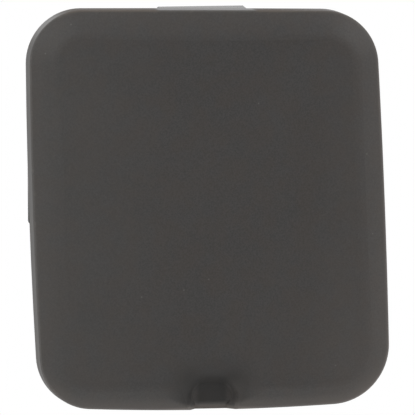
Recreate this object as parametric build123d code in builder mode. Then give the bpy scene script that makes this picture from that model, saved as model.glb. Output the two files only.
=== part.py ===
from build123d import *
from math import cos, radians, tan
import os

# Snap-in cover for the towing eye opening of a bumper, one moulding.
# X runs to the right seen from the front, -Y is the outward side, Z is up.
# The seat on the bumper skin is the plane Y = 0 and the hooks reach behind it.

# Where the four sides would meet in the seat plane
top_left = (-38.9, 42.8)
top_right = (35.6, 42.5)
bottom_right = (39.3, -41.7)
bottom_left = (-36.5, -41.3)

# Rounding of each corner
radius_top_left = 11.6
radius_top_right = 12.1
radius_bottom_right = 13.0
radius_bottom_left = 11.5

# How far each side bows outward between its corners
bow_top = 0.1
bow_right = 0.5
bow_bottom = 1.35
bow_left = 0.7

# Side wall, sloping shoulder and domed front
rim_depth = 5.0
rim_draft = 4.0
rim_rounding = 0.75
crown_depth = 6.8
crown_radius = 3000.0
shoulder_angle = 16.5
shoulder_overrun = 0.2
shoulder_rounding = 8.0
face_wall = 2.2
side_wall = 1.6
inner_shoulder_rounding = 6.0

# Bumper skin the cover snaps into
panel_thickness = 2.8
panel_overlap = 2.6
snap_clearance = 0.3
edge_clearance = 0.2

# Middle line shared by the tongue and the lower hooks
middle_x = -0.3

# Scoop for a flat blade: a flat floor between sloping walls, open at the lower edge
scoop_x = 0.2
scoop_height = 5.85
scoop_width = 8.4
scoop_depth = 3.6
scoop_corner = 3.0
scoop_side_slope = 28.0
scoop_top_slope = 42.0
scoop_lip_rounding = 5.0
scoop_roll = 1.6
scoop_notch = 0.42
scoop_wall = 2.0
scoop_overrun = 8.0
lip_overcut = 0.01

# Collar that centres the cover in the opening
collar_wall = 1.4
collar_rear = 2.4
collar_lead = 0.5

# Snap hooks at both sides and beside the scoop
hook_wall = 1.8
hook_rear = 8.0
hook_land = 0.9
hook_tip_wall = 0.9
hook_corner = 1.0
hook_edge = 0.3
hook_gap = 1.5
side_hook_z = 3.4
side_hook_width = 13.0
side_hook_reach = 2.6
lower_hook_pitch = 42.0
lower_hook_width = 9.0
lower_hook_reach = 1.8
gusset_wall = 1.2
gusset_length = 5.5
gusset_front = 1.0

# Tongue that goes behind the upper edge of the opening
tongue_width = 19.9
tongue_rear = 7.8
tongue_rise = 0.35
tongue_drop = 0.3
tongue_neck = 2.0
tongue_wall = 1.4
tongue_pockets = 3
tongue_corner = 0.7
tongue_tilt = 0.65

# Stiffening ribs on the inner side of the face
rib_wall = 1.2
rib_height = 2.2
rib_row_pitch = 24.0
rib_column_pitch = 28.0

# Marks left by the ejector pins and the gate
pin_radius = 2.0
pin_depth = 0.15
pin_pitch_x = 52.0
gate_radius = 1.3
gate_height = 0.7

# Places that follow from the sizes above
left_edge = (top_left[0] + bottom_left[0]) / 2 - bow_left
right_edge = (top_right[0] + bottom_right[0]) / 2 + bow_right
top_edge = (top_left[1] + top_right[1]) / 2 + bow_top
bottom_edge = (bottom_left[1] + bottom_right[1]) / 2 - bow_bottom
crown_centre = crown_radius - crown_depth
inner_face = crown_depth - face_wall
shoulder_slope = tan(radians(shoulder_angle))
shoulder_wall = face_wall / cos(radians(shoulder_angle))
inner_rim_depth = rim_depth + side_wall * shoulder_slope - shoulder_wall
collar_inset = panel_overlap + edge_clearance
root_depth = rim_depth + collar_inset * shoulder_slope - shoulder_wall / 3
catch = panel_thickness + snap_clearance
scoop_floor = crown_depth - scoop_depth
scoop_back = scoop_floor - scoop_roll
scoop_front = crown_depth + scoop_overrun
scoop_end = bottom_edge - scoop_overrun


def outline(inset=0.0):
    """Closed outline of the cover, pulled in from the edge of the seat."""
    with BuildSketch() as shape:
        with BuildLine():
            SagittaArc(top_left, top_right, bow_top)
            SagittaArc(top_right, bottom_right, bow_right)
            SagittaArc(bottom_right, bottom_left, bow_bottom)
            SagittaArc(bottom_left, top_left, bow_left)
        make_face()
        if inset:
            offset(amount=-inset, kind=Kind.INTERSECTION, mode=Mode.REPLACE)
        for corner, radius in (
            (top_left, radius_top_left),
            (top_right, radius_top_right),
            (bottom_right, radius_bottom_right),
            (bottom_left, radius_bottom_left),
        ):
            fillet(shape.vertices().sort_by_distance(corner)[0], radius=radius - inset)
    return shape.sketch


def lower_edge(x):
    """Height of the bowed lower side of the outline at a place across it."""
    share = (x - bottom_left[0]) / (bottom_right[0] - bottom_left[0])
    chord = bottom_left[1] + share * (bottom_right[1] - bottom_left[1])
    return chord - bow_bottom * (1 - (2 * share - 1) ** 2)


def domed_block(inset, depth, dome_depth, shoulder):
    """Drafted wall, sloping shoulder and dome, with the shoulder blended in."""
    with BuildPart() as block:
        with BuildSketch(Plane.XZ):
            add(outline(inset))
        extrude(amount=depth)
        draft(block.faces().filter_by(Axis.Y, reverse=True), Plane.XZ, rim_draft)
        extrude(block.faces().sort_by(Axis.Y)[0], amount=dome_depth + shoulder_overrun - depth)
        slopes = block.faces().filter_by(Axis.Y, reverse=True).group_by(Axis.Y)[0]
        draft(slopes, Plane.XZ.offset(depth), 90 - shoulder_angle)
        with Locations((0, crown_centre, 0)):
            Sphere(radius=crown_centre + dome_depth, mode=Mode.INTERSECT)
        fillet(block.faces().sort_by(Axis.Y)[0].edges(), radius=shoulder)
    return block.part


def scoop_room(back, wall=0.0):
    """Room of the scoop in front of a depth, with its walls moved out by a thickness."""
    floor_top = lower_edge(scoop_x) + scoop_height
    with BuildPart() as room:
        for depth in (back, scoop_front):
            rise = depth - scoop_floor
            side = rise * tan(radians(scoop_side_slope)) + wall / cos(radians(scoop_side_slope))
            lift = rise * tan(radians(scoop_top_slope)) + wall / cos(radians(scoop_top_slope))
            height = floor_top + lift - scoop_end
            with BuildSketch(Plane.XZ.offset(depth)) as opening:
                with Locations((scoop_x, scoop_end + height / 2)):
                    Rectangle(scoop_width + 2 * side, height)
                fillet(opening.vertices().group_by(Axis.Y)[-1], radius=scoop_corner + side)
        loft(ruled=True)
    return room.part


def snap_hook(width, reach):
    """Hook with its nose toward +X, its arm behind X = 0 and its tip toward +Y."""
    with BuildPart() as hook:
        with BuildSketch(Plane.XY):
            with BuildLine():
                Polyline(
                    (-hook_wall, -root_depth),
                    (0, -root_depth),
                    (0, catch),
                    (reach, catch),
                    (reach, catch + hook_land),
                    (hook_tip_wall - hook_wall, hook_rear),
                    (-hook_wall, hook_rear),
                    close=True,
                )
            make_face()
        extrude(amount=width / 2, both=True)
        fillet(hook.faces().sort_by(Axis.Y)[-1].edges().filter_by(Axis.Z), radius=hook_edge)
        with BuildSketch(Plane.XZ.offset(root_depth)) as plan:
            with Locations(((reach - hook_wall) / 2, 0)):
                Rectangle(reach + hook_wall, width)
            fillet(plan.vertices().group_by(Axis.X)[-1], radius=hook_corner)
        extrude(amount=-(root_depth + hook_rear), mode=Mode.INTERSECT)
        for side in (-1, 1):
            with BuildSketch(Plane.XY.offset(side * width / 4)):
                with BuildLine():
                    Polyline(
                        (-hook_wall, -root_depth),
                        (-hook_wall, -gusset_front),
                        (-hook_wall - gusset_length, -root_depth),
                        close=True,
                    )
                make_face()
            extrude(amount=gusset_wall / 2, both=True)
    return hook.part


# Scoop with its flat floor, rolled over where it meets the lower edge
roll_z = lower_edge(scoop_x) + scoop_notch + scoop_roll
with BuildPart() as scoop:
    add(scoop_room(scoop_back))
    with BuildSketch(Plane.YZ):
        with BuildLine():
            floor_line = Line((-scoop_floor, 0), (-scoop_floor, roll_z))
            roll = RadiusArc(floor_line @ 1, (-scoop_back, roll_z - scoop_roll), scoop_roll)
            Polyline(
                roll @ 1,
                (-scoop_back, scoop_end),
                (-scoop_front, scoop_end),
                (-scoop_front, 0),
                floor_line @ 0,
            )
        make_face()
    extrude(amount=right_edge, both=True, mode=Mode.INTERSECT)

# Front dome with the scoop sunk into it and the lip of the scoop rolled over
with BuildPart() as dished_dome:
    with Locations((0, crown_centre, 0)):
        Sphere(radius=crown_radius + lip_overcut)
    add(scoop.part, mode=Mode.SUBTRACT)
    front = dished_dome.faces().filter_by(GeomType.SPHERE)[0]
    lip = front.edges().filter_by(GeomType.BSPLINE).sort_by(Axis.Z)[1:]
    fillet(lip, radius=scoop_lip_rounding)

# Outer skin before it is hollowed
with BuildPart() as skin:
    add(domed_block(0, rim_depth, crown_depth, shoulder_rounding))
    fillet(skin.edges().filter_by(GeomType.CIRCLE).group_by(Axis.Y)[-2], radius=rim_rounding)
    add(dished_dome.part, mode=Mode.INTERSECT)

# Hollow behind the face, leaving a wall around the back of the scoop
with BuildPart() as hollow:
    add(domed_block(side_wall, inner_rim_depth, inner_face, inner_shoulder_rounding))
    add(scoop_room(scoop_floor - scoop_wall, scoop_wall), mode=Mode.SUBTRACT)

# Collar, broken at each hook and at the tongue, and kept out of the scoop
lower_hook_places = (middle_x - lower_hook_pitch / 2, middle_x + lower_hook_pitch / 2)
break_depth = 2 * (collar_inset + collar_wall + hook_wall)
with BuildPart() as collar:
    with BuildSketch(Plane.XZ.offset(root_depth)):
        add(outline(collar_inset))
        add(outline(collar_inset + collar_wall), mode=Mode.SUBTRACT)
    extrude(amount=-(root_depth + collar_rear))
    chamfer(collar.faces().sort_by(Axis.Y)[-1].edges(), length=collar_lead)
    with BuildSketch(Plane.XZ.offset(root_depth)):
        with Locations((left_edge, side_hook_z), (right_edge, side_hook_z)):
            Rectangle(break_depth, side_hook_width + 2 * hook_gap)
        for x in lower_hook_places:
            with Locations((x, bottom_edge)):
                Rectangle(lower_hook_width + 2 * hook_gap, break_depth)
        with Locations((middle_x, top_edge)):
            Rectangle(tongue_width + 2 * hook_gap, break_depth)
    extrude(amount=-(root_depth + collar_rear), mode=Mode.SUBTRACT)
    add(scoop.part, mode=Mode.SUBTRACT)

# Tongue, drawn with Z = 0 on the upper edge of the outline
tongue_root = -collar_inset - tongue_neck
pocket_width = (tongue_width - (tongue_pockets + 1) * tongue_wall) / tongue_pockets
pocket_height = -tongue_drop - tongue_root - 2 * tongue_wall
with BuildPart() as tongue:
    with BuildSketch(Plane.YZ):
        with BuildLine():
            Polyline(
                (-root_depth, tongue_root),
                (-root_depth, -collar_inset),
                (catch, -collar_inset),
                (catch, -tongue_drop),
                (tongue_rear, tongue_rise),
                (tongue_rear, tongue_root),
                close=True,
            )
        make_face()
    extrude(amount=tongue_width / 2, both=True)
    upper_face = tongue.faces().sort_by(Axis.Z)[-1]
    chamfer(upper_face.edges().filter_by(Axis.X, reverse=True), length=tongue_corner)
    with BuildSketch(Plane.XZ.offset(-tongue_rear)):
        with Locations((0, tongue_root + tongue_wall + pocket_height / 2)):
            with GridLocations(pocket_width + tongue_wall, 0, tongue_pockets, 1):
                Rectangle(pocket_width, pocket_height)
    extrude(amount=tongue_rear - catch - tongue_wall, mode=Mode.SUBTRACT)
    for side in (-1, 1):
        with BuildSketch(Plane.YZ.offset(side * tongue_width / 4)):
            with BuildLine():
                Polyline(
                    (-root_depth, tongue_root),
                    (-gusset_front, tongue_root),
                    (-root_depth, tongue_root - gusset_length),
                    close=True,
                )
            make_face()
        extrude(amount=gusset_wall / 2, both=True)

# Ribs crossing the inner side of the face, tied into the collar
rib_base = inner_face + face_wall / 4
with BuildPart() as ribs:
    with BuildSketch(Plane.XZ.offset(rib_base)):
        for row in (-1, 0, 1):
            with Locations(((left_edge + right_edge) / 2, side_hook_z + row * rib_row_pitch)):
                Rectangle(right_edge - left_edge, rib_wall)
        for column in (-1, 1):
            with Locations((middle_x + column * rib_column_pitch / 2, (top_edge + bottom_edge) / 2)):
                Rectangle(rib_wall, top_edge - bottom_edge)
        add(outline(collar_inset + collar_wall / 2), mode=Mode.INTERSECT)
    extrude(amount=-(rib_base - inner_face + rib_height))

# Round marks of the ejector pins, each a shallow cut into the inner face
pin_rows = (side_hook_z - rib_row_pitch / 2, side_hook_z + rib_row_pitch / 2)
with BuildPart() as pin_marks:
    for x in (middle_x - pin_pitch_x / 2, middle_x + pin_pitch_x / 2):
        for z in pin_rows:
            drop = (x**2 + z**2) / (2 * crown_radius)
            with BuildSketch(Plane.XZ.offset(inner_face - drop + pin_depth)):
                with Locations((x, z)):
                    Circle(pin_radius)
            extrude(amount=-rib_height)

# Stub left by the gate in the middle of the inner face
with BuildPart() as gate:
    with BuildSketch(Plane.XZ.offset(rib_base)):
        with Locations((middle_x, pin_rows[1])):
            Circle(gate_radius)
    extrude(amount=-(rib_base - inner_face + gate_height))

# The whole moulding
side_hook = snap_hook(side_hook_width, side_hook_reach)
lower_hook = snap_hook(lower_hook_width, lower_hook_reach)
with BuildPart() as cover:
    add(skin.part)
    add(hollow.part, mode=Mode.SUBTRACT)
    add(collar.part)
    add(ribs.part)
    add(gate.part)
    add(pin_marks.part, mode=Mode.SUBTRACT)
    with Locations((middle_x, 0, top_edge)):
        add(tongue.part, rotation=(0, -tongue_tilt, 0))
    with Locations((left_edge + collar_inset, 0, side_hook_z)):
        add(side_hook, rotation=(0, 180, 0))
    with Locations((right_edge - collar_inset, 0, side_hook_z)):
        add(side_hook)
    for x in lower_hook_places:
        with Locations((x, 0, lower_edge(x) + collar_inset)):
            add(lower_hook, rotation=(0, 90, 0))

os.makedirs("parts", exist_ok=True)
cover.part.label = "tow_eye_cover"
export_step(cover.part, "parts/tow_eye_cover.step")
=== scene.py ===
# %% [markdown]
# # Tow eye cover
# The object is a small moulded plate that snaps into a bumper and hides the thread for the towing eye.
# It is one piece of black plastic, so the imported model already has its whole shape, and this lesson is
# about finish and light: how a matt plastic face, a worn edge with painted highlights, a scoop darkened
# by painted shade and a smoother rear are made from plain numbers. The imported model comes first,
# because every later step looks at it, dresses it or lights it.

# %% Load the imported model
from math import cos, radians, sin, tan

import bpy
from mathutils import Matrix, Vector


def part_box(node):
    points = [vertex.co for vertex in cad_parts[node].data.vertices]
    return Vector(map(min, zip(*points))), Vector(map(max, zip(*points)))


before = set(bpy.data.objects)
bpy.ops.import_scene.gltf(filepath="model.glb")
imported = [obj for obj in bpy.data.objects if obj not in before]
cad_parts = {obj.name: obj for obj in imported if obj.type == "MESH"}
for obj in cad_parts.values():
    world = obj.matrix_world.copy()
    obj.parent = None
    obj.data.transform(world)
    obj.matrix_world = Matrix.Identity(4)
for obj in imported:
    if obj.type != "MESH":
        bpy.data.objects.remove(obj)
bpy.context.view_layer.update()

MM = 0.001
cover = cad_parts["tow_eye_cover"]
low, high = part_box("tow_eye_cover")
print("cover", [round(v / MM, 2) for v in (high - low)], "mm,", len(cover.data.polygons), "faces")

# %% [markdown]
# ## The camera
# The photograph is taken with a long lens from a little to the left and a little above, which shows
# because the left and upper walls can be seen as thin strips. A camera can be placed by hand until it
# looks right. Here it is worked out from two angles, a distance and the number of pixels that a
# millimetre takes, so that each of them can be changed by itself.

# %% Camera
photo_pixels = 415
pixels_per_mm = 4.713
camera_distance = 570 * MM
camera_left = radians(10)
camera_above = radians(5)
aim = Vector((-0.69, -3.0, 0.60)) * MM

lens = bpy.data.cameras.new("photo_lens")
lens.sensor_width = 36
lens.lens = lens.sensor_width * pixels_per_mm * (camera_distance / MM) / photo_pixels
lens.clip_start = 0.01
camera = bpy.data.objects.new("photo_camera", lens)
toward_camera = Vector((
    -sin(camera_left) * cos(camera_above),
    -cos(camera_left) * cos(camera_above),
    sin(camera_above),
))
camera.location = aim + toward_camera * camera_distance
camera.rotation_euler = toward_camera.to_track_quat("Z", "Y").to_euler()
bpy.context.scene.collection.objects.link(camera)
bpy.context.scene.camera = camera
bpy.context.scene.view_settings.view_transform = "Standard"
print("lens", round(lens.lens, 1), "mm, camera at", [round(v, 3) for v in camera.location])

# %% [markdown]
# ## Shader maths as arithmetic
# A finish is a small network of nodes. Drawn by hand it is a tangle, and written out node by node it is
# longer than the idea behind it. Two short classes keep it readable: a Wire is the output of a node and
# can be added, subtracted and multiplied like a number, and a Shader has one method that makes any
# other node. Its rise, fall and between turn a length or a slope into a share from 0 to 1, which says
# how much of a finish a place gets. Each of them takes its soft border as a span, the pair of values
# between which the share changes.

# %% Wires and shaders
class Wire:
    """A node's output, on which arithmetic adds Math nodes."""

    def __init__(self, shader, socket):
        self.shader = shader
        self.socket = socket

    def math(self, operation, *values):
        return self.shader.node("ShaderNodeMath", {"operation": operation}, dict(enumerate(values)))

    def __add__(self, other):
        return self.math("ADD", self, other)

    def __radd__(self, other):
        return self.math("ADD", other, self)

    def __sub__(self, other):
        return self.math("SUBTRACT", self, other)

    def __rsub__(self, other):
        return self.math("SUBTRACT", other, self)

    def __mul__(self, other):
        return self.math("MULTIPLY", self, other)

    def __rmul__(self, other):
        return self.math("MULTIPLY", other, self)

    def __abs__(self):
        return self.math("ABSOLUTE", self)


class Shader:
    """A node tree that is written as calls."""

    def __init__(self, tree):
        self.tree = tree
        self.tree.nodes.clear()

    def node(self, kind, settings=None, inputs=None, output=0):
        """New node with its settings and the values or wires of its sockets."""
        made = self.tree.nodes.new(kind)
        for name, value in (settings or {}).items():
            setattr(made, name, value)
        for name, value in (inputs or {}).items():
            if isinstance(value, Wire):
                self.tree.links.new(value.socket, made.inputs[name])
            else:
                made.inputs[name].default_value = value
        return Wire(self, made.outputs[output]) if len(made.outputs) else made

    def axes(self, vector):
        """The three numbers of a vector."""
        return [self.node("ShaderNodeSeparateXYZ", {}, {0: vector}, axis) for axis in "XYZ"]

    def rise(self, value, span):
        """Smooth rise from 0 to 1 as value passes through a span."""
        start, end = span
        settings = {"interpolation_type": "SMOOTHSTEP"}
        return self.node("ShaderNodeMapRange", settings, {0: value, 1: start, 2: end})

    def fall(self, value, span):
        """Smooth fall from 1 to 0 as value passes through a span."""
        return 1 - self.rise(value, span)

    def between(self, value, first, second):
        """1 between two spans, with a soft rise over the first and a soft fall over the second."""
        return self.rise(value, first) * self.fall(value, second)

    def noise(self, place, size, detail):
        """Soft noise from 0 to 1 with features of about this size in metres."""
        inputs = {"Vector": place, "Scale": 1 / size, "Detail": detail, "Roughness": 0.55}
        return self.node("ShaderNodeTexNoise", {}, inputs)

    def blend(self, share, first, second):
        """Mixture of two colours."""
        return self.node("ShaderNodeMix", {"data_type": "RGBA"}, {0: share, 6: first, 7: second}, 2)


print("shader helpers ready")

# %% [markdown]
# ## The moulded plastic
# The cover could get a separate material for each zone, but it is one moulding and its zones run into
# each other. So one material is changed by place. The first step gives names to the places: what faces
# sideways is the wall, what faces up is the upper edge, and what faces back or lies behind the seat is
# the smoother rear. Where a place faces is told by its Normal, whose three numbers go from -1 to 1.

# %% Places on the cover
plastic = bpy.data.materials.new("grained_black_plastic")
plastic.use_nodes = True
skin = Shader(plastic.node_tree)
place = skin.node("ShaderNodeTexCoord", output="Object")
across, depth, upward = skin.axes(place)
sideways, backward, up_facing = skin.axes(skin.node("ShaderNodeTexCoord", output="Normal"))

rear_facing = (0.2, 0.7)
seat_depth = (-0.2 * MM, 0.2 * MM)
rear = skin.rise(backward, rear_facing)
behind_seat = skin.rise(depth, seat_depth)
smooth_side = rear.math("MAXIMUM", rear, behind_seat)

wall_facing = (0.35, 0.85)
top_facing = (0.3, 0.7)
wall = skin.fall(abs(backward), wall_facing) * (1 - behind_seat)
upper_edge = skin.rise(up_facing, top_facing)
print("places named with", len(plastic.node_tree.nodes), "nodes")

# %% [markdown]
# ## The scoop
# The scoop in the lower edge takes a flat blade. Its colour is darkened by painted shade, which stands
# for the shade that falls into the recess. The painted shade has no outline: it is thickest in the
# middle, thins out over the face beside and above the scoop, and stops at the lip. It could be painted
# by hand, but a product of soft borders in each direction needs only a few lengths, which come from the
# photograph, and can be corrected one at a time. Beside the scoop the painted shade ends a little
# higher than in its middle.

# %% Reach of the scoop's painted shade
scoop_middle = -0.4 * MM
shade_side = (4.0 * MM, 12.0 * MM)
shade_top = (-36.2 * MM, -29.2 * MM)
shade_end = (-42.1 * MM, -40.9 * MM)
end_rise = 2.5 * MM
beside_scoop = skin.rise(abs(across - scoop_middle), shade_side)
above_end = skin.rise(upward - beside_scoop * end_rise, shade_end)
# painted shade: darkest in the middle of the scoop, where its recess is shaded
scoop_shade_reach = (1 - beside_scoop) * skin.fall(upward, shade_top) * above_end * (1 - smooth_side)
print("dirt fades between", [round(v / MM, 1) for v in shade_side], "mm beside the scoop's middle")

# %% [markdown]
# Some places inside the scoop are painted lighter, which takes painted shade away: the edges of the
# floor, which the recess already shades, the lower ends of the walls beside it, and the right wall,
# which faces the light from the left. Each lighter place takes its share away from the painted shade,
# which keeps the painted shade itself as simple as before.

# %% Places painted lighter in the scoop
floor_middle = 0.2 * MM
from_floor = abs(across - floor_middle)

floor_border = (2.4 * MM, 4.4 * MM)
floor_depth = (-4.2 * MM, -3.4 * MM)
floor_share = 0.7
painted_light_floor_edges = skin.rise(from_floor, floor_border) * skin.rise(depth, floor_depth) * floor_share

wall_foot = (2.8 * MM, 3.6 * MM)
wall_head = (4.4 * MM, 5.2 * MM)
wall_end = (-41.2 * MM, -40.2 * MM)
wall_share = 0.4
painted_light_wall_ends = skin.between(from_floor, wall_foot, wall_head) * skin.fall(upward, wall_end) * wall_share

left_facing = (-0.7, -0.2)
right_wall_share = 0.2
painted_light_right_wall = skin.fall(sideways, left_facing) * right_wall_share

# painted shade of the scoop, less of it where floor edges, wall ends and right wall are painted lighter
scoop_shade = scoop_shade_reach * (1 - painted_light_floor_edges) * (1 - painted_light_wall_ends) * (1 - painted_light_right_wall)
print("scoop cleaned by", floor_share, "at its floor's edges and", wall_share, "at its walls' ends")

# %% [markdown]
# ## Body colour
# The plastic is a dark, slightly warm grey. It wanders a very little over centimetres, from the flow of
# the melt, and over tenths of a millimetre, from the fine grain of the spark-eroded mould. A third
# noise of medium size turns some patches warmer, as dust worked into the grain does. One flat grey
# would be simpler, but next to the real thing it looks like paper. The noise is turned out of line with
# the face, because on a nearly flat face its own lattice would show as rings.

# %% Body colour
dark_grey = (0.0502, 0.0480, 0.0466, 1)
light_grey = (0.0722, 0.0691, 0.0671, 1)
flow_size = 14 * MM
grain_size = 0.35 * MM
flow_share = 0.15
grey_span = (0.29, 0.71)
noise_turn = (0.6, 0.4, 0.9)
turned = skin.node("ShaderNodeMapping", {}, {"Vector": place, "Rotation": noise_turn})
flow = skin.noise(turned, flow_size, detail=3.0)
grain = skin.noise(turned, grain_size, detail=3.0)
grey_share = skin.rise(flow * flow_share + grain * (1 - flow_share), grey_span)
even_colour = skin.blend(grey_share, dark_grey, light_grey)

warm_tint = (0.078, 0.057, 0.042, 1)
warm_size = 4 * MM
warm_span = (0.35, 0.65)
warm_share = 0.2
warmth = skin.rise(skin.noise(turned, warm_size, detail=5.0), warm_span) * warm_share
body_colour = skin.blend(warmth, even_colour, warm_tint)
print("body colour from", dark_grey[:3], "to", light_grey[:3])

# %% [markdown]
# ## Painted shade in the scoop
# Painted shade darkens the scoop, colour that stands for the shade in its recess. A black layer would
# be simpler, but even the deepest painted shade lets some of the plastic show, so it is a mixture by
# the share that was worked out above.

# %% Painted shade in the scoop
painted_shade_colour = (0.022, 0.021, 0.020, 1)
deepest_painted_shade = 0.68
# painted shade mixed into the colour of the scoop
shaded_colour = skin.blend(scoop_shade * deepest_painted_shade, body_colour, painted_shade_colour)
print("dirt", painted_shade_colour[:3], "at most", deepest_painted_shade, "thick")

# %% [markdown]
# ## Worn corner, and painted highlights on the corner, lower edge and lip
# Rubbing polishes the grain away, and the plastic looks paler. It works on what stands out: the corner
# between face and wall is worn in spots. The rest of the paleness is painted highlight: an even line
# along the corner, stronger at its top and on its right side, and a band on the lower edge and on the
# lip under the scoop, where the rounding catches light from below. The corner could be found by its
# curvature, but it lies at nearly the same depth all round, so two depths pick it out and hold in every
# view.

# %% Worn corner, painted highlights on lower edge and lip
corner_front = (-5.3 * MM, -5.05 * MM)
corner_back = (-4.6 * MM, -4.1 * MM)
spot_size = 1.6 * MM
spot_span = (0.58, 0.68)
right_side = (20 * MM, 34 * MM)
even_highlight = 0.1
spot_rub = 0.3
top_highlight = 0.1
right_highlight = 0.2
corner = skin.between(depth, corner_front, corner_back)
spots = skin.rise(skin.noise(turned, spot_size, detail=4.0), spot_span)
sides = upper_edge * top_highlight + skin.rise(across, right_side) * right_highlight
# corner: wear in spots and a painted highlight along it, stronger at its top and right side
worn_and_lit_corner = corner * (even_highlight + spots * spot_rub + sides)

lower_highlight_front = (-5.9 * MM, -5.2 * MM)
lower_highlight_back = (-4.4 * MM, -3.9 * MM)
lower_highlight_top = (-39.5 * MM, -30 * MM)
lower_highlight_share = 0.3
# painted highlight on the lower edge, paler where it catches light from below
lower_edge_highlight = skin.between(depth, lower_highlight_front, lower_highlight_back) * skin.fall(upward, lower_highlight_top) * lower_highlight_share

lip_border = (-42.3 * MM, -41.6 * MM)
# painted highlight on the lip under the scoop
painted_lip_highlight = skin.fall(upward, lip_border) * (1 - beside_scoop)
print("corner rubbed from", even_highlight, "to", even_highlight + spot_rub, "and scuffed by", lower_highlight_share, "below")

# %% [markdown]
# ## Painted sheen on the shoulder and right side
# The face is also a little paler on its shoulder, toward its right side and in its lower right corner.
# On the shoulder and the right side this is painted sheen, colour in place of the white surroundings
# that these slopes mirror. All that is worn or painted lighter is one pale brown in different shares,
# added up before one mixture, which is easier to balance than a chain of mixtures. In the scoop the
# painted shade covers the wear and the painted highlights, apart from the lip.

# %% Painted sheen on shoulder and right side
shoulder_depth = (-6.5 * MM, -5.1 * MM)
shoulder_share = 0.13
# painted sheen: the shoulder is paler where it mirrors the white surroundings
painted_shoulder_sheen = skin.rise(depth, shoulder_depth) * (1 - wall) * shoulder_share

right_sheen_span = (18 * MM, 34 * MM)
right_sheen_share = 0.12
# painted sheen: paler toward the right side
painted_right_sheen = skin.rise(across, right_sheen_span) * right_sheen_share

low_right_across = (5 * MM, 30 * MM)
low_right_upward = (-38 * MM, -5 * MM)
low_right_share = 0.11
low_right = skin.rise(across, low_right_across) * skin.fall(upward, low_right_upward)
paler_low_right = low_right * low_right_share

wear_and_light_colour = (0.139, 0.122, 0.110, 1)
open_wear_and_light = (worn_and_lit_corner + lower_edge_highlight + painted_shoulder_sheen) * (1 - scoop_shade)
worn_and_lit = open_wear_and_light + painted_lip_highlight + painted_right_sheen + paler_low_right
# one pale brown for the worn corner and for the painted highlights and sheen
worn_and_lit_colour = skin.blend(worn_and_lit * (1 - smooth_side), shaded_colour, wear_and_light_colour)
print("rubbed plastic", wear_and_light_colour[:3])

# %% [markdown]
# ## Dust and painted light on the face
# A few grains of dust lie on the face. They could be modelled as small lumps, but at a third of a
# millimetre a spot of colour looks the same. Scattering them with a texture would put them anywhere, so
# each grain has its own place, in millimetres across and upward, and the distance from it makes the
# spot. The left side of the face is painted lighter with the same plain grey, painted light from the
# lamp on the upper left, so it shares this mixture.

# %% Dust and painted light on the face
speck_radius = 0.17 * MM
speck_softness = 0.4
speck_edge = (speck_radius * (1 - speck_softness), speck_radius * (1 + speck_softness))
speck_share = 0.7
speck_places = (
    (-15.4, -17.8), (-35.1, 39.7), (-30.0, 39.5), (26.5, -33.4), (-35.4, 33.5),
    (33.2, 11.8), (-6.4, -16.5), (9.6, 22.8), (-1.1, -14.3), (34.6, -5.3),
)
face_place = skin.node("ShaderNodeCombineXYZ", {}, {0: across, 1: upward})
specks = 0
for x, z in speck_places:
    ends = {0: face_place, 1: (x * MM, z * MM, 0)}
    apart = skin.node("ShaderNodeVectorMath", {"operation": "DISTANCE"}, ends, "Value")
    specks = specks + skin.fall(apart, speck_edge)
dust = specks * (1 - wall) * speck_share

pale_grey = (0.13, 0.126, 0.119, 1)
left_light_span = (-40 * MM, 0)
left_light_share = 0.18
# painted light: the left side of the face paler, toward the lamp on the upper left
painted_light_left = skin.fall(across, left_light_span) * left_light_share
dusty_and_lit_colour = skin.blend((painted_light_left + dust) * (1 - smooth_side), worn_and_lit_colour, pale_grey)
print(len(speck_places), "grains of dust")

# %% [markdown]
# ## Dust on the upper edge
# Brown dust has settled on the upper edge, but not before the tongue and less toward both ends, where
# hands and cloths rub it. The edge is split into a dusty and a polished part, because the surface needs
# both: the dust is dull, and the polished part is a little smoother than the face.

# %% Dust on the upper edge
tongue_middle = -1.1 * MM
tongue_half = 9.9 * MM
tongue_border = 1.2 * MM
beside_tongue = skin.rise(abs(across - tongue_middle), (tongue_half, tongue_half + tongue_border))

left_end = (-34 * MM, -29 * MM)
right_end = (12 * MM, 28 * MM)
right_end_rub = 0.7
between_ends = skin.rise(across, left_end) * (1 - skin.rise(across, right_end) * right_end_rub)
dusty_edge = upper_edge * beside_tongue * between_ends
polished_edge = upper_edge - dusty_edge

brown_dust_colour = (0.14, 0.105, 0.078, 1)
brown_dust_share = 0.4
brown_dust = dusty_edge * (1 - smooth_side) * brown_dust_share
colour = skin.blend(brown_dust, dusty_and_lit_colour, brown_dust_colour)
print("brown dust", brown_dust_colour[:3], "beside a tongue of", round(2 * tongue_half / MM, 1), "mm")

# %% [markdown]
# ## Surface
# The grain also scatters the light. It is far too fine to model, so a Bump node tilts the surface by
# the same noise that tints it, and the roughness follows it a little. The side walls, which are drawn
# out of the mould along their grain, the dusty upper edge and the scoop are duller than the face.
# The polished parts of the upper edge and the rear are smoother, which shows where they are seen at a
# low angle.

# %% Surface
face_roughness = 0.40
grain_range = 0.1
wall_dulling = 0.2
dust_dulling = 0.1
scoop_dulling = 0.4
edge_polish = 0.24
rear_polish = 0.16
on_walls = wall * (wall_dulling + dusty_edge * dust_dulling - polished_edge * edge_polish)
on_zones = on_walls + scoop_shade * scoop_dulling - smooth_side * rear_polish
roughness = face_roughness + (grain - 0.5) * grain_range + on_zones

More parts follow.
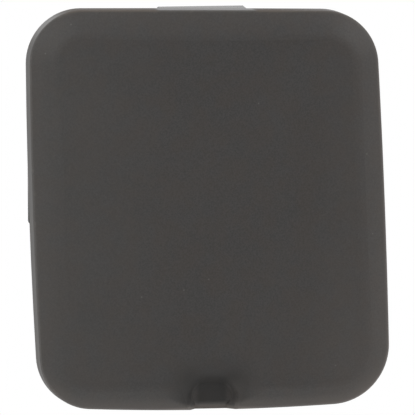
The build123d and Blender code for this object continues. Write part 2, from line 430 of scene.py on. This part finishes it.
grain_strength = 0.35
grain_height = 0.012 * MM
rear_smoothing = 0.8
height = grain * (1 - smooth_side * rear_smoothing)
grained = skin.node("ShaderNodeBump", {}, {
    "Strength": grain_strength,
    "Distance": grain_height,
    "Height": height,
})
surface = skin.node("ShaderNodeBsdfPrincipled", {}, {
    "Base Color": colour,
    "Roughness": roughness,
    "IOR": 1.47,
    "Normal": grained,
})
skin.node("ShaderNodeOutputMaterial", {}, {"Surface": surface})
for slot in cover.material_slots:
    slot.material = plastic
print("material", plastic.name, "with", len(plastic.node_tree.nodes), "nodes")

# %% [markdown]
# ## Light
# A dark matt plate on white shows its form almost only by what it mirrors: the flat face looks toward
# the dark room behind the camera, while the sloping shoulder and the walls look sideways into the white
# surroundings. One strong lamp in front would flatten that. So the world is white all round, one large
# dark screen stands behind the camera, and two weak, soft lamps from the upper left and the upper right
# light the face.

# %% World
white = (1, 1, 1, 1)
surroundings = 1.0
world = bpy.data.worlds.new("white_surroundings")
world.use_nodes = True
bpy.context.scene.world = world
sky = Shader(world.node_tree)
sky.node("ShaderNodeOutputWorld", {}, {
    "Surface": sky.node("ShaderNodeBackground", {}, {"Color": white, "Strength": surroundings}),
})
print("surroundings", surroundings)

# %% [markdown]
# The screen is a plain dark board. The camera looks through it, so it stays out of every picture and
# only takes light away. Its edges are given as angles seen from the cover, because a shoulder that
# slopes by 16.5 degrees mirrors what lies 33 degrees farther to the side: where the screen ends, a
# bright band begins on the shoulder. The screen reaches well past that, so the band stays as soft as in
# the photograph.

# %% Dark screen behind the camera
def stage_sheet(name, corners, paint):
    """Flat four-cornered sheet of the stage with one material."""
    mesh = bpy.data.meshes.new(name)
    mesh.from_pydata(corners, [], [(0, 1, 2, 3)])
    mesh.materials.append(paint)
    made = bpy.data.objects.new(name, mesh)
    bpy.context.scene.collection.objects.link(made)
    return made


screen_distance = 1.2
screen_angles = (-57, 54, -44, 62)
left, right, bottom, top = (screen_distance * tan(radians(angle)) for angle in screen_angles)
screen_corners = ((left, bottom), (right, bottom), (right, top), (left, top))

screen_grey = (0.2, 0.2, 0.2, 1)
screen_paint = bpy.data.materials.new("dark_screen_paint")
screen_paint.use_nodes = True
board = Shader(screen_paint.node_tree)
board.node("ShaderNodeOutputMaterial", {}, {
    "Surface": board.node("ShaderNodeBsdfDiffuse", {}, {"Color": screen_grey}),
})
screen = stage_sheet("dark_screen", [(x, -screen_distance, z) for x, z in screen_corners], screen_paint)
screen.visible_camera = False
print("screen", [round(v, 2) for v in screen.dimensions], "m")

# %% [markdown]
# Each lamp is a large square, because a large lamp gives soft borders to light and shade. A sun would
# be simpler, but its hard light would pick out every grain. The left lamp stands nearly in front and
# the right one farther to the side, so that both sides of the shoulder and of the scoop get some light.

# %% Lamps
lamp_distance = 0.9


def soft_lamp(name, direction, size, power):
    """Square lamp in a direction from the cover, facing it."""
    light = bpy.data.lights.new(name, "AREA")
    light.size = size
    light.energy = power
    lamp = bpy.data.objects.new(name, light)
    lamp.location = Vector(direction).normalized() * lamp_distance
    lamp.rotation_euler = lamp.location.to_track_quat("Z", "Y").to_euler()
    bpy.context.scene.collection.objects.link(lamp)
    return lamp


lamps = [
    soft_lamp("upper_left_lamp", direction=(-0.35, -1.0, 0.4), size=0.6, power=1.3),
    soft_lamp("upper_right_lamp", direction=(0.55, -0.75, 0.4), size=0.5, power=1.05),
]
print("lamps at", [[round(v, 2) for v in lamp.location] for lamp in lamps])

# %% [markdown]
# ## Floor
# The cover is fixed to a bumper and never stands, so it hangs a few centimetres over a pale floor that
# only catches its shadow. The floor is small and fades into the white of the surroundings, so no edge
# shows. It is kept out of reflections, because the lower shoulder would mirror it and the wall below
# would lose its form.

# %% Floor
floor_gap = 40 * MM
floor_reach = 0.2
floor_fade = (0.08, 0.18)
floor_white = (0.86, 0.86, 0.86, 1)
floor_paint = bpy.data.materials.new("pale_floor_paint")
floor_paint.use_nodes = True
ground = Shader(floor_paint.node_tree)
floor_x, floor_y = ground.axes(ground.node("ShaderNodeTexCoord", output="Object"))[:2]
flat_place = ground.node("ShaderNodeCombineXYZ", {}, {0: floor_x, 1: floor_y})
from_centre = ground.node("ShaderNodeVectorMath", {"operation": "LENGTH"}, {0: flat_place}, "Value")
matt_white = ground.node("ShaderNodeBsdfDiffuse", {}, {"Color": floor_white})
glow = ground.node("ShaderNodeEmission", {}, {"Color": white, "Strength": surroundings})
fade = ground.rise(from_centre, floor_fade)
ground.node("ShaderNodeOutputMaterial", {}, {
    "Surface": ground.node("ShaderNodeMixShader", {}, {0: fade, 1: matt_white, 2: glow}),
})

floor_height = low.z - floor_gap
floor_corners = [
    (x * floor_reach, y * floor_reach, floor_height)
    for x, y in ((-1, -1), (1, -1), (1, 1), (-1, 1))
]
floor = stage_sheet("pale_floor", floor_corners, floor_paint)
floor.visible_glossy = False
print("floor", round(-floor_height / MM, 1), "mm below the middle of the cover")

# %% [markdown]
# ## End
# The finish changes no shape, so the box of the dressed cover is the box of the imported one.


print("scene dressed")
